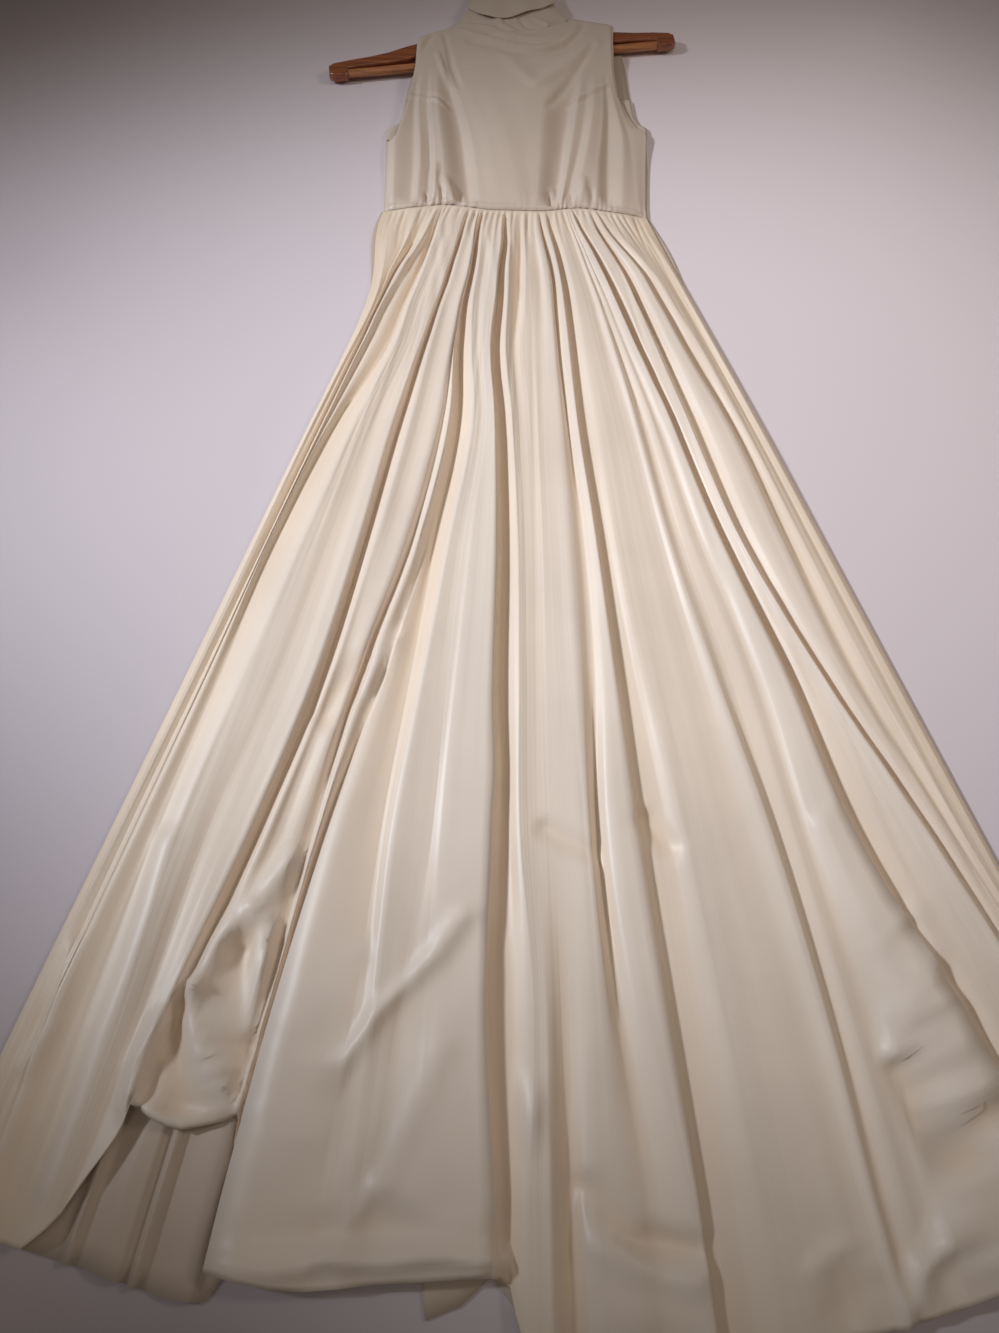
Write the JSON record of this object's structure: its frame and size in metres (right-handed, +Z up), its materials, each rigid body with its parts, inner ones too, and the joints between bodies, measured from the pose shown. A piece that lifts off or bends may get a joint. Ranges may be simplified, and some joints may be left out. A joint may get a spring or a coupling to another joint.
{
  "type": "sleeveless maxi dress with wooden hanger",
  "caption": "Sleeveless empire-line maxi dress with a turned-down collar and a full gathered skirt, laid flat with its wooden hanger inside.",
  "frame": {"origin": "middle of the footprint, on the surface that the dress lies on", "axes": "+Y from the hem to the neck, +Z up out of the front of the dress, +X to the wearer's left"},
  "size_m": [1.0112, 1.5812, 0.0265],
  "materials": {
    "crepe": "smooth cream crepe with a soft sheen",
    "hanger_wood": "reddish-brown varnish",
    "bar_wood": "lighter orange-brown varnish",
    "hook_steel": "plain steel wire"
  },
  "bodies": {
    "root": {"skirt_front": "crepe", "skirt_back": "crepe", "bodice_front": "crepe", "bodice_back": "crepe", "armhole_facing_left": "crepe", "armhole_facing_right": "crepe", "collar": "crepe", "hanger_body": "hanger_wood", "hanger_bar": "bar_wood", "hanger_hook": "hook_steel"}
  },
  "joints": []
}
